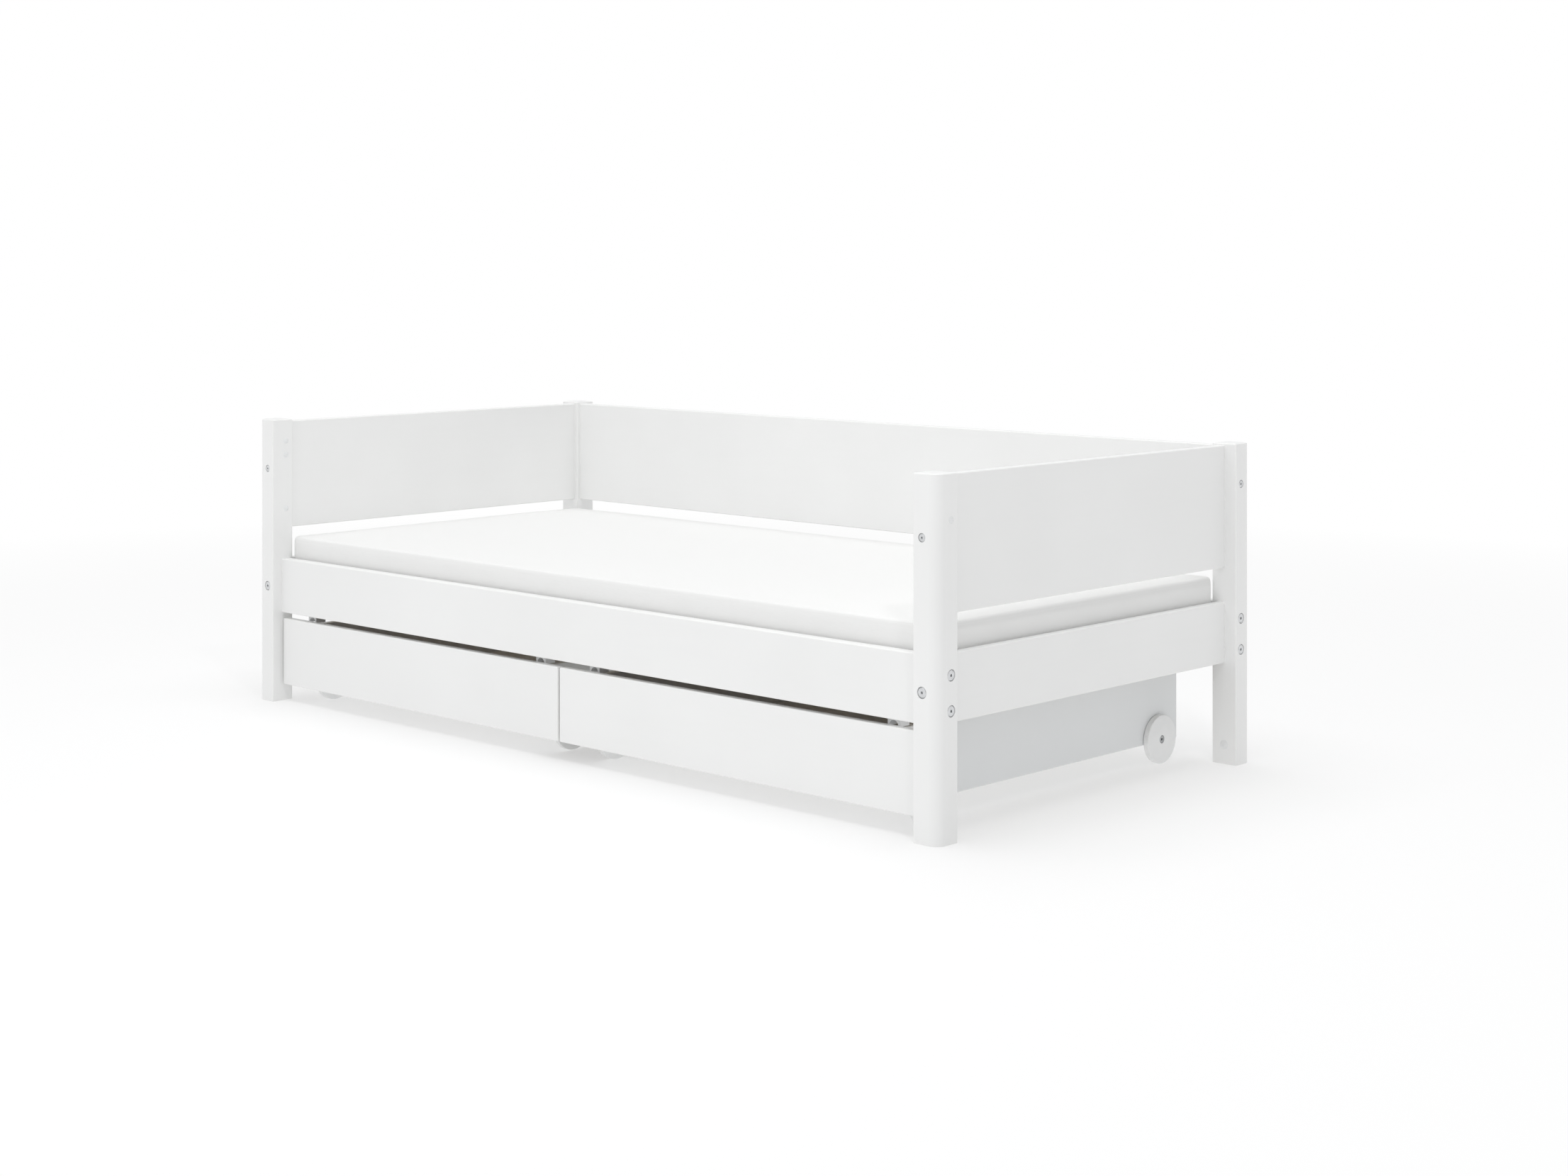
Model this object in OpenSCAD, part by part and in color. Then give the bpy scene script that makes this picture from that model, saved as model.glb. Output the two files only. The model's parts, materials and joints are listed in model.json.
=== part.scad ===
// Day bed with a back panel, two end panels, a mattress and two wheeled under-bed drawers.
// Millimetres. +X is the bed's length, -Y the drawer side, +Z up, floor at z = 0.
// The origin is on the floor, under the middle of the bed.

/* [Overall] */
// Length over the posts
bed_length = 2094; // [2080:1:2120]
// Width over the posts
bed_width = 1008; // [1000:1:1020]
// Height of the posts
post_height = 662; // [660:1:720]

/* [Posts] */
// Post size along the bed
post_x = 58.5; // [56:0.5:62]
// Post size across the bed
post_y = 56; // [54:0.5:60]
// Radius of the post's outer vertical corner
post_outer_r = 22; // [12:1:24]
// Radius of the post's inner vertical corner
post_inner_r = 3; // [3:1:12]
// Radius of the small edges on all boards and posts
edge_r = 3; // [2:0.5:4]

/* [Rails] */
// Lower edge of the rails above the floor
rail_z = 207.5; // [205:0.5:212]
// Height of the rails
rail_h = 126.5; // [124:0.5:130]
// Thickness of the front and back rails
rail_t = 25; // [23:0.5:26]
// How far the front and back rails sit behind the posts' faces
rail_recess = 25; // [24:0.5:28]
// Thickness of the end rails
end_rail_t = 20; // [18:0.5:22]
// How far the end rails and end panels sit behind the posts' faces
end_recess = 27.5; // [26:0.5:29]

/* [Panels] */
// Lower edge of the panels above the floor
panel_z = 405.5; // [400:0.5:410]
// Height of the panels
panel_h = 252; // [246:0.5:256]
// Thickness of the panels
panel_t = 20; // [18:0.5:22]
// How far the back panel sits behind the posts' faces
back_recess = 27; // [25:0.5:29]

/* [Slats] */
// Number of slats
slat_count = 14; // [12:1:15]
// Width of a slat
slat_w = 68; // [60:1:72]
// Thickness of a slat
slat_t = 16; // [14:0.5:18]
// Depth and height of the ledges that carry the slats
ledge = 30; // [28:1:32]

/* [Mattress] */
// Mattress length
mattress_l = 1994; // [1980:1:1995]
// Mattress width
mattress_w = 901; // [890:1:903]
// Height of the mattress's top above the floor
mattress_top = 386; // [380:1:395]
// Radius of the mattress's upright corners
mattress_r = 20; // [18:1:60]
// Thickness of the mattress's padded walls round its open core
mattress_wall = 18; // [14:1:30]

/* [Drawers] */
// Length of a drawer front
front_l = 979; // [960:1:980]
// Lower edge of a drawer front above the floor
front_z = 39.5; // [38:0.5:44]
// Height of a drawer front
front_h = 155; // [150:0.5:156]
// Thickness of a drawer front
front_t = 18; // [16:0.5:19]
// Gap between the two drawer fronts
front_gap = 6; // [4:0.5:8]
// Distance from a front's end to the drawer's side
side_inset = 72.5; // [70:0.5:76]
// Thickness of the drawer's sides
side_t = 18; // [16:0.5:19]
// How deep the drawer runs behind its front
side_l = 895; // [860:1:900]

/* [Wheels] */
// Wheel diameter
wheel_d = 100; // [96:1:100]
// Wheel width
wheel_w = 12; // [11:0.5:13]
// Front axle's distance behind the drawer front
front_axle = 80; // [70:1:100]
// Rear axle's distance from the back end of the sides
rear_axle = 70; // [60:1:90]

/* [Hidden] */
L2 = bed_length / 2;
W2 = bed_width / 2;
px_in = L2 - post_x;              // posts' faces that the long rails meet
py_in = W2 - post_y;              // posts' faces that the end rails meet
rail_top = rail_z + rail_h;
ry_out = W2 - rail_recess;        // outer face of the front and back rails
ry_in = ry_out - rail_t;
ry_mid = (ry_out + ry_in) / 2;
ex_out = L2 - end_recess;         // outer face of the end rails and panels
ex_rail_in = ex_out - end_rail_t;
ex_mid = ex_out - end_rail_t / 2;
bp_out = W2 - back_recess;        // outer face of the back panel
bp_mid = bp_out - panel_t / 2;
bolt_hi = rail_z + 94;            // heights of the two bolts in a long rail
bolt_lo = rail_z + 30;
bolt_end = rail_z + rail_h / 2;   // the single bolt in an end rail
panel_bolt_end = panel_z + 141.5; // the bolt in an end panel
panel_bolt_back = panel_z + 173;  // the bolt in the back panel
dowel_hi = panel_z + 205.5;       // dowels in the panels' ends
dowel_lo = panel_z + 46;
foot_plug_z = 40;
head_r = 10.5;                    // rail bolt head
head_t = 3;
sink = 3.5;                       // depth of a rail bolt's counterbore
psink = 2.7;                      // and of a panel bolt's
phead_r = 8;                      // panel bolt head
shank_r = 4;
pshank_r = 3;
reach = 48;                       // how far a rail bolt enters the board
preach = 40;
nut_at = 36;                      // barrel nut's distance from the board's end
slop = 0.1;                       // radial room round every fastener
ledge_top = 250;
slat_top = ledge_top + slat_t;
mattress_bottom = slat_top + 0.5;
slat_l = 2 * ry_in - 4;
ledge_x = px_in - nut_at - 13;    // the ledges stop short of the rails' barrel nuts
slat_pitch = 2 * (ledge_x - 4 - slat_w / 2) / (slat_count - 1);
guide_r = 11;
guide_w = 30;
guide_d = 26;
guide_z = 190;
front_y = -ry_out;                // drawer front's outer face
dx = (front_gap + front_l) / 2;   // drawers' centres
side_x = front_l / 2 - side_inset; // outer face of a drawer's side, from the drawer's centre
side_y0 = front_y + front_t;
side_y1 = side_y0 + side_l;
side_z = 42;
side_top = 186;
back_t = 15;
bottom_t = 5;
bottom_z = 54;
groove = 6;
wheel_r = wheel_d / 2;
wheel_gap = 1;
axle_r = 5;
axle_fit = 0.06;                  // radial clearance of a wheel on its axle
axle_ys = [side_y0 + front_axle, side_y1 - rear_axle];
dowel_r = 4;
nut_r = 7.5;
enut_r = 6;
insert_r = 5;                     // threaded sleeve in a panel's end
insert_l = 24;
cam_r = 7.5;
cam_at = 24;                      // cam's distance behind the front end of a side
cam_z = [80, 155];
side_dowel_z = 117;
back_dowel_z = [85, 120, 155];
back_dowel_r = 3;
axle_l = wheel_gap + wheel_w - 4.5 + 0.3;
guide_x = [for (s = [-1, 1], t = [-1, 1]) s * dx + t * (side_x - side_t / 2)];
guide_screw_y = [ry_in - 8, ry_in - 19];
ledge_screw_x = [-860, -520, -180, 180, 520, 860];
ledge_screw_z = ledge_top - ledge / 2;
end_slat_x = [for (s = [-1, 1]) s * slat_pitch * (slat_count - 1) / 2];
EDGE = 48;

white = [0.93, 0.935, 0.93];
steel = [0.72, 0.73, 0.74];
pine = [0.86, 0.74, 0.56];
cloth = [0.97, 0.97, 0.96];
plastic = [0.95, 0.95, 0.95];

// ---------- shared shapes ----------

// a quarter disc in the first quadrant
module quarter(r) { intersection() { circle(r, $fn = EDGE); square(r); } }

// a rectangle with its own radius at each corner: [x0y0, x1y0, x1y1, x0y1]
module soft_rect(sx, sy, R) {
    C = [[0, 0], [sx, 0], [sx, sy], [0, sy]];
    S = [[1, 1], [-1, 1], [-1, -1], [1, -1]];
    difference() {
        square([sx, sy]);
        for (i = [0:3]) if (R[i] > 0)
            translate([C[i][0] - (S[i][0] < 0 ? R[i] : 0), C[i][1] - (S[i][1] < 0 ? R[i] : 0)]) square(R[i]);
    }
    for (i = [0:3]) if (R[i] > 0)
        translate([C[i][0] + S[i][0] * R[i], C[i][1] + S[i][1] * R[i]]) rotate(180 + 90 * i) quarter(R[i]);
}
// the rounded end of a soft_rect prism: full outline at z = 0, r smaller all round at z = r
module soft_end(sx, sy, R, r) {
    translate([r, r, 0]) linear_extrude(r)
        soft_rect(sx - 2 * r, sy - 2 * r, [for (q = R) max(q - r, 0)]);
    translate([R[0], 0, 0]) edge_round(sx - R[0] - R[1], r);
    translate([sx, R[1], 0]) rotate(90) edge_round(sy - R[1] - R[2], r);
    translate([sx - R[2], sy, 0]) rotate(180) edge_round(sx - R[2] - R[3], r);
    translate([0, sy - R[3], 0]) rotate(270) edge_round(sy - R[3] - R[0], r);
    translate([R[0], R[0], 0]) rotate(180) corner_round(R[0], r);
    translate([sx - R[1], R[1], 0]) rotate(270) corner_round(R[1], r);
    translate([sx - R[2], sy - R[2], 0]) corner_round(R[2], r);
    translate([R[3], sy - R[3], 0]) rotate(90) corner_round(R[3], r);
}
module edge_round(l, r) {
    translate([0, r, 0]) rotate([90, 0, 90]) linear_extrude(l) mirror([1, 0]) quarter(r);
}
module corner_round(R, r) {
    rotate_extrude(angle = 90, $fn = 96) {
        translate([R - r, 0]) quarter(r);
        if (R > r) square([R - r, r]);
    }
}

// a prism of height h with rounded ends
module soft_block(sx, sy, h, R, r0, r1) {
    translate([0, 0, r0]) linear_extrude(h - r0 - r1) soft_rect(sx, sy, R);
    if (r1 > 0) translate([0, 0, h - r1]) soft_end(sx, sy, R, r1);
    if (r0 > 0) translate([0, sy, r0]) rotate([180, 0, 0]) soft_end(sx, sy, [R[3], R[2], R[1], R[0]], r0);
}

// a board on edge along X: t thick in Y, h high in Z, from x0 to x1, lower outer corner at y, z
module board_x(x0, x1, y, z, t, h, r) {
    translate([x0, y, z]) rotate([90, 0, 90]) linear_extrude(x1 - x0) soft_rect(t, h, [r, r, r, r]);
}
// a board on edge along Y
module board_y(y0, y1, x, z, t, h, r) {
    translate([x, y1, z]) rotate([90, 0, 0]) linear_extrude(y1 - y0) soft_rect(t, h, [r, r, r, r]);
}
// a cylinder along +X or +Y from a point
module rod_x(x, y, z, r, l) { translate([x, y, z]) rotate([0, 90, 0]) cylinder(r = r, h = l, $fn = EDGE); }
module rod_y(x, y, z, r, l) { translate([x, y, z]) rotate([-90, 0, 0]) cylinder(r = r, h = l, $fn = EDGE); }
module rod_z(x, y, z, r, l) { translate([x, y, z]) cylinder(r = r, h = l, $fn = EDGE); }

// everything that is the same at both ends of the bed, at both sides, or at all four corners
module both_x() { for (s = [-1, 1]) scale_x(s) children(); }
module both_y() { for (s = [-1, 1]) scale_y(s) children(); }
module scale_x(s) { if (s > 0) children(); else mirror([1, 0, 0]) children(); }
module scale_y(s) { if (s > 0) children(); else mirror([0, 1, 0]) children(); }
module corners() { both_x() both_y() children(); }

// flat-head furniture bolt along +Z from the face it sits on, shank pointing down
module flat_bolt(hr, ht, sr, l) {
    difference() {
        union() {
            cylinder(r = hr, h = ht * 0.45, $fn = EDGE);
            translate([0, 0, ht * 0.45]) cylinder(r1 = hr, r2 = hr - 1.8, h = ht * 0.55, $fn = EDGE);
            translate([0, 0, -l]) cylinder(r = sr, h = l, $fn = EDGE);
        }
        translate([0, 0, ht - 4]) cylinder(r = sr * 0.72, h = 5, $fn = 6);
    }
}
module bolt_at_x(x, y, z, hr, ht, sr, l) { translate([x, y, z]) rotate([0, 90, 0]) flat_bolt(hr, ht, sr, l); }
module bolt_at_y(x, y, z, hr, ht, sr, l) { translate([x, y, z]) rotate([-90, 0, 0]) flat_bolt(hr, ht, sr, l); }

// a shallow ring cut into a sleeve of radius r
module groove_ring(r, depth, w) difference() {
    translate([0, 0, -w / 2]) cylinder(r = r + 1, h = w, $fn = EDGE);
    translate([0, 0, -w]) cylinder(r = r - depth, h = 2 * w, $fn = EDGE);
}

// countersunk wood screw along +Z: head at the top, at z = 0
module wood_screw(r, l, hr) {
    difference() {
        union() {
            translate([0, 0, -l]) cylinder(r = r, h = l, $fn = 24);
            translate([0, 0, -hr * 0.6]) cylinder(r1 = r, r2 = hr, h = hr * 0.6, $fn = 24);
        }
        for (a = [0, 90]) rotate(a) translate([-hr * 0.55, -0.4, -1.2]) cube([hr * 1.1, 0.8, 1.3]);
    }
}

// domed plug along +Z, seated on its face, with its stem below
module dome_plug(r, h, stem_r, stem_l, ring) {
    sr = (r * r + h * h) / (2 * h);
    difference() {
        translate([0, 0, h - sr]) sphere(r = sr, $fn = 96);
        translate([0, 0, -2 * sr]) cube([4 * sr, 4 * sr, 4 * sr], center = true);
        if (ring > 0) translate([0, 0, h - 0.35]) difference() {
            cylinder(r = ring + 0.5, h = 1, $fn = EDGE);
            translate([0, 0, -1]) cylinder(r = ring, h = 3, $fn = EDGE);
        }
    }
    translate([0, 0, -stem_l]) cylinder(r = stem_r, h = stem_l, $fn = EDGE);
}

// ---------- posts ----------

// the back right post, seen in place; the others are its mirror images
module post_here(back) {
    difference() {
        translate([L2 - post_x, W2 - post_y, 0])
            soft_block(post_x, post_y, post_height, [post_inner_r, edge_r, post_outer_r, edge_r], 1, edge_r);
        for (z = [bolt_lo, bolt_hi]) rod_x(px_in - 1, ry_mid, z, shank_r + slop, post_x + 2);
        rod_y(ex_mid, py_in - 1, bolt_end, shank_r + slop, post_y + 2);
        rod_y(ex_mid, py_in - 1, panel_bolt_end, pshank_r + slop, post_y + 2);
        rod_x(px_in - 1, bp_mid, panel_bolt_back, pshank_r + slop, post_x + 2);
        for (z = [dowel_lo, dowel_hi]) {
            rod_x(px_in - 1, bp_mid, z, dowel_r + slop, 16);
            rod_y(ex_mid, py_in - 1, z, dowel_r + slop, 16);
        }
        for (z = [bolt_end - 46, bolt_end + 46]) rod_y(ex_mid, py_in - 1, z, dowel_r + slop, 16);
        rod_y(L2 - post_x / 2, py_in - 1, foot_plug_z, 5 + slop, 16);
        for (z = [bolt_lo, bolt_hi]) rod_x(L2 - sink, ry_mid, z, head_r + 0.5, sink + 1);
        rod_y(ex_mid, W2 - sink, bolt_end, head_r + 0.5, sink + 1);
        rod_y(ex_mid, W2 - psink, panel_bolt_end, phead_r + 0.4, psink + 1);
        if (back) rod_x(L2 - psink, bp_mid, panel_bolt_back, phead_r + 0.4, psink + 1);
    }
}
module post_front_left()  color(white) mirror([1, 0, 0]) mirror([0, 1, 0]) post_here(false);
module post_front_right() color(white) mirror([0, 1, 0]) post_here(false);
module post_back_left()   color(white) mirror([1, 0, 0]) post_here(true);
module post_back_right()  color(white) post_here(true);

// ---------- rails ----------

// the back rail; the front rail is its mirror image
module long_rail() {
    difference() {
        board_x(-px_in, px_in, ry_in, rail_z, rail_t, rail_h, edge_r);
        both_x() for (z = [bolt_lo, bolt_hi]) {
            rod_x(px_in - reach - 2, ry_mid, z, shank_r + slop, reach + 3);
            rod_y(px_in - nut_at, ry_in - 1, z, nut_r + slop, rail_t / 2 + 9);
        }
        for (x = ledge_screw_x) rod_y(x, ry_in - 1, ledge_screw_z, 2 + slop, 16);
    }
}
module back_rail()  color(white) long_rail();
module front_rail() color(white) mirror([0, 1, 0]) long_rail();

// the right end rail; the left one is its mirror image
module short_rail() {
    difference() {
        board_y(-py_in, py_in, ex_rail_in, rail_z + 1, end_rail_t, rail_h - 1, edge_r);
        both_y() {
            rod_y(ex_mid, py_in - reach - 2, bolt_end, shank_r + slop, reach + 3);
            rod_x(ex_rail_in - 1, py_in - nut_at, bolt_end, enut_r + slop, end_rail_t - 3);
            for (z = [bolt_end - 46, bolt_end + 46]) rod_y(ex_mid, py_in - 20, z, dowel_r + slop, 21);
        }
    }
}
module right_end_rail() color(white) short_rail();
module left_end_rail()  color(white) mirror([1, 0, 0]) short_rail();

// ---------- panels ----------

module back_panel() color(white) difference() {
    board_x(-px_in, px_in, bp_out - panel_t, panel_z, panel_t, panel_h, edge_r);
    both_x() {
        rod_x(px_in - preach - 2, bp_mid, panel_bolt_back, pshank_r + slop, preach + 3);
        rod_x(px_in - insert_l - 0.5, bp_mid, panel_bolt_back, insert_r + slop, insert_l + 1.5);
        for (z = [dowel_lo, dowel_hi]) rod_x(px_in - 20, bp_mid, z, dowel_r + slop, 21);
    }
}
module end_panel() {
    difference() {
        board_y(-py_in, py_in, ex_out - panel_t, panel_z, panel_t, panel_h, edge_r);
        both_y() {
            rod_y(ex_mid, py_in - preach - 2, panel_bolt_end, pshank_r + slop, preach + 3);
            rod_y(ex_mid, py_in - insert_l - 0.5, panel_bolt_end, insert_r + slop, insert_l + 1.5);
            for (z = [dowel_lo, dowel_hi]) rod_y(ex_mid, py_in - 20, z, dowel_r + slop, 21);
        }
    }
}
module right_end_panel() color(white) end_panel();
module left_end_panel()  color(white) mirror([1, 0, 0]) end_panel();

// ---------- slats and their ledges ----------

module slat_ledge() {
    difference() {
        board_x(-ledge_x, ledge_x, ry_in - ledge, ledge_top - ledge, ledge, ledge, 2);
        for (x = ledge_screw_x) {
            rod_y(x, ry_in - ledge - 1, ledge_screw_z, 2 + slop, ledge + 2);
            translate([x, ry_in - ledge, ledge_screw_z]) rotate([-90, 0, 0]) cylinder(r1 = 4.3, r2 = 2 + slop, h = 2.6, $fn = 24);
        }
        for (x = guide_x, y = guide_screw_y) rod_z(x, y, ledge_top - ledge - 1, 1.8 + slop, 17);
        for (x = end_slat_x) rod_z(x, ry_in - ledge / 2, ledge_top - 14, 2 + slop, 15);
    }
}
module back_slat_ledge()  color(white) slat_ledge();
module front_slat_ledge() color(white) mirror([0, 1, 0]) slat_ledge();

module ledge_screws() color(steel) both_y() for (x = ledge_screw_x)
    translate([x, ry_in - ledge + 0.1, ledge_screw_z]) rotate([90, 0, 0]) wood_screw(2, ledge + 13, 4.1);

module bed_slats() color(pine) difference() {
    for (i = [0:slat_count - 1])
        board_y(-slat_l / 2, slat_l / 2, -slat_pitch * (slat_count - 1) / 2 + i * slat_pitch - slat_w / 2, ledge_top, slat_w, slat_t, 2);
    for (x = end_slat_x, s = [-1, 1]) {
        rod_z(x, s * (ry_in - ledge / 2), ledge_top - 1, 2 + slop, slat_t + 2);
        translate([x, s * (ry_in - ledge / 2), slat_top - 2.6]) cylinder(r1 = 2 + slop, r2 = 4.3, h = 2.61, $fn = 24);
    }
}
module slat_tapes() color(cloth) for (s = [-1, 1])
    translate([-slat_pitch * (slat_count - 1) / 2 - slat_w / 2, s * 300 - 12.5, ledge_top - 1.2])
        cube([slat_pitch * (slat_count - 1) + slat_w, 25, 1.2]);
module slat_screws() color(steel) both_y() for (x = end_slat_x)
    translate([x, ry_in - ledge / 2, slat_top - 0.1]) wood_screw(2, slat_t + 12, 4.1);

// ---------- frame fasteners ----------

module rail_bolts() color(steel) corners() for (z = [bolt_lo, bolt_hi])
    bolt_at_x(L2 - sink, ry_mid, z, head_r, head_t, shank_r, post_x - sink + reach);
module rail_barrel_nuts() color(steel) corners() for (z = [bolt_lo, bolt_hi]) difference() {
    rod_y(px_in - nut_at, ry_in + 1.5, z, nut_r, rail_t / 2 + 6);
    rod_x(px_in - nut_at - 20, ry_mid, z, shank_r + slop, 40);
}
module end_rail_bolts() color(steel) corners()
    bolt_at_y(ex_mid, W2 - sink, bolt_end, head_r, head_t, shank_r, post_y - sink + reach);
module end_rail_barrel_nuts() color(steel) corners() difference() {
    rod_x(ex_rail_in + 1.5, py_in - nut_at, bolt_end, enut_r, end_rail_t - 6);
    rod_y(ex_mid, py_in - nut_at - 20, bolt_end, shank_r + slop, 40);
}
module panel_bolts() color(steel) {
    corners() bolt_at_y(ex_mid, W2 - psink, panel_bolt_end, phead_r, 2.3, pshank_r, post_y - psink + preach);
    both_x() bolt_at_x(L2 - psink, bp_mid, panel_bolt_back, phead_r, 2.3, pshank_r, post_x - psink + preach);
}
module panel_inserts() color(steel) {
    corners() difference() {
        rod_y(ex_mid, py_in - insert_l, panel_bolt_end, insert_r, insert_l);
        rod_y(ex_mid, py_in - insert_l - 1, panel_bolt_end, pshank_r + slop, insert_l + 2);
        for (k = [4:4:insert_l - 4]) translate([ex_mid, py_in - k, panel_bolt_end]) rotate([90, 0, 0]) groove_ring(insert_r, 0.7, 1.4);
    }
    both_x() difference() {
        rod_x(px_in - insert_l, bp_mid, panel_bolt_back, insert_r, insert_l);
        rod_x(px_in - insert_l - 1, bp_mid, panel_bolt_back, pshank_r + slop, insert_l + 2);
        for (k = [4:4:insert_l - 4]) translate([px_in - k, bp_mid, panel_bolt_back]) rotate([0, 90, 0]) groove_ring(insert_r, 0.7, 1.4);
    }
}
module wood_dowels() color(pine) {
    both_x() for (z = [dowel_lo, dowel_hi]) rod_x(px_in - 18, bp_mid, z, dowel_r, 32);
    corners() {
        for (z = [dowel_lo, dowel_hi]) rod_y(ex_mid, py_in - 18, z, dowel_r, 32);
        for (z = [bolt_end - 46, bolt_end + 46]) rod_y(ex_mid, py_in - 18, z, dowel_r, 32);
    }
}
// the front posts' spare holes, closed
module cap_plugs() color(plastic) both_x() {
    translate([L2, -bp_mid, panel_bolt_back]) rotate([0, 90, 0]) dome_plug(6.8, 2.2, pshank_r, 8, 0);
    translate([px_in, -bp_mid, panel_bolt_back]) rotate([0, -90, 0]) dome_plug(6.8, 2.2, pshank_r, 8, 0);
    for (z = [dowel_lo, dowel_hi])
        translate([px_in, -bp_mid, z]) rotate([0, -90, 0]) dome_plug(6.8, 2.2, dowel_r, 8, 0);
}
module foot_plugs() color(plastic) corners()
    translate([L2 - post_x / 2, py_in, foot_plug_z]) rotate([90, 0, 0]) dome_plug(9.5, 2.4, 5, 12, 3.2);

// ---------- drawer guides under the front ledge ----------

module drawer_guide_blocks() color(plastic) for (x = guide_x) difference() {
    translate([x - guide_w / 2, -ry_in + guide_d, guide_z]) rotate([90, 0, 0])
        linear_extrude(guide_d) soft_rect(guide_w, ledge_top - ledge - guide_z, [1, 1, 0, 0]);
    rod_y(x, -ry_in - 1, guide_z, guide_r, guide_d + 2);
    for (s = [-1, 1]) rod_y(x + s * 10.8, -ry_in - 1, guide_z + 12.5, 1.2, 4);
    for (y = guide_screw_y) {
        rod_z(x, -y, guide_z, 1.8 + slop, 40);
        rod_z(x, -y, guide_z, 3.9, guide_r + 1);
        translate([x, -y, guide_z + guide_r + 0.99]) cylinder(r1 = 3.9, r2 = 1.8 + slop, h = 2.3, $fn = 24);
    }
}
module guide_screws() color(steel) for (x = guide_x, y = guide_screw_y)
    translate([x, -y, guide_z + guide_r + 1]) rotate([180, 0, 0]) wood_screw(1.8, 33, 3.6);

// ---------- mattress ----------

module mattress() color(cloth) difference() {
    translate([-mattress_l / 2, -mattress_w / 2, mattress_bottom])
        soft_block(mattress_l, mattress_w, mattress_top - mattress_bottom, [mattress_r, mattress_r, mattress_r, mattress_r], 9, 9);
    translate([-mattress_l / 2 + mattress_wall, -mattress_w / 2 + mattress_wall, mattress_bottom + mattress_wall])
        linear_extrude(mattress_top - mattress_bottom - 2 * mattress_wall)
            soft_rect(mattress_l - 2 * mattress_wall, mattress_w - 2 * mattress_wall, [6, 6, 6, 6]);
}

// ---------- drawers: drawn about x = 0, then moved to their places ----------

module drawer_front() {
    difference() {
        translate([-front_l / 2, front_y + front_t, front_z]) rotate([90, 0, 0])
            soft_block(front_l, front_h, front_t, [edge_r, edge_r, edge_r, edge_r], 2, edge_r);
        translate([-side_x + side_t - groove - 0.2, side_y0 - groove, bottom_z])
            cube([2 * (side_x - side_t + groove + 0.2), groove + 1, bottom_t + 0.2]);
        both_x() {
            for (z = cam_z) rod_y(side_x - side_t / 2, side_y0 - 11.5, z, 3 + slop, 12);
            rod_y(side_x - side_t / 2, side_y0 - 12, side_dowel_z, dowel_r + slop, 13);
        }
    }
}
// the right side; the left one is its mirror image
module drawer_side() {
    difference() {
        board_y(side_y0, side_y1, side_x - side_t, side_z, side_t, side_top - side_z, 2.5);
        translate([side_x - side_t - 1, side_y0 - 1, bottom_z]) cube([groove + 1, side_l + 2, bottom_t + 0.2]);
        for (y = axle_ys) rod_x(side_x - 15, y, wheel_r, 3 + slop, 16);
        for (z = cam_z) {
            rod_y(side_x - side_t / 2, side_y0 - 1, z, 3 + slop, 25);
            rod_x(side_x - side_t - 1, side_y0 + cam_at, z, cam_r + slop, 14);
        }
        rod_y(side_x - side_t / 2, side_y0 - 1, side_dowel_z, dowel_r + slop, 22);
        for (z = back_dowel_z) rod_x(side_x - side_t - 1, side_y1 - back_t / 2, z, back_dowel_r + slop, 12);
    }
}
module drawer_back() {
    difference() {
        board_x(-side_x + side_t, side_x - side_t, side_y1 - back_t, bottom_z + bottom_t + 0.2, back_t, side_top - 6 - bottom_z - bottom_t, 2);
        both_x() for (z = back_dowel_z) rod_x(side_x - side_t - 21, side_y1 - back_t / 2, z, back_dowel_r + slop, 22);
    }
}
module drawer_bottom()
    translate([-side_x + side_t - groove + 0.3, side_y0 - groove + 0.3, bottom_z])
        cube([2 * (side_x - side_t + groove - 0.3), side_l + groove - 1.3, bottom_t]);
module drawer_dowels() both_x() {
    rod_y(side_x - side_t / 2, side_y0 - 11, side_dowel_z, dowel_r, 31);
    for (z = back_dowel_z) rod_x(side_x - side_t - 20, side_y1 - back_t / 2, z, back_dowel_r, 30);
}
module drawer_cams() both_x() for (z = cam_z) {
    difference() {
        rod_x(side_x - side_t + 0.2, side_y0 + cam_at, z, cam_r, 12.4);
        translate([side_x - side_t - 0.1, side_y0 + cam_at, z]) cube([2.6, 9, 1.4], center = true);
        translate([side_x - side_t - 0.1, side_y0 + cam_at, z]) cube([2.6, 1.4, 9], center = true);
    }
    rod_y(side_x - side_t / 2, side_y0 - 11, z, 3, cam_at + 11 - cam_r - 0.4);
}
module drawer_axles() both_x() for (y = axle_ys) translate([side_x, y, wheel_r]) rotate([0, 90, 0]) difference() {
    union() {
        translate([0, 0, -14]) cylinder(r = 3, h = 14.5, $fn = EDGE);
        cylinder(r = axle_r, h = axle_l, $fn = EDGE);
        translate([0, 0, axle_l]) cylinder(r = 7.5, h = 2.2, $fn = EDGE);
        translate([0, 0, axle_l + 2.2]) cylinder(r1 = 7.5, r2 = 6.5, h = 1, $fn = EDGE);
    }
    translate([0, 0, axle_l - 0.3]) cylinder(r = 2.9, h = 5, $fn = 6);
}
module drawer_washers() both_x() for (y = axle_ys) difference() {
    rod_x(side_x, y, wheel_r, 7.4, 0.7);
    rod_x(side_x - 1, y, wheel_r, axle_r + slop, 3);
}
// a wheel on the right side; a left one is its mirror image
module wheel_here(y) {
    difference() {
        translate([side_x + wheel_gap, y, wheel_r]) rotate([0, 90, 0])
            rotate_extrude($fn = 96) soft_rect(wheel_r, wheel_w, [0, 1.5, 1.5, 0]);
        rod_x(side_x, y, wheel_r, axle_r + axle_fit, wheel_w + 4);
        rod_x(side_x + wheel_gap + wheel_w - 4.5, y, wheel_r, 8.5, 6);
    }
}
module to_left()  translate([-dx, 0, 0]) children();
module to_right() translate([dx, 0, 0]) children();

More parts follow.
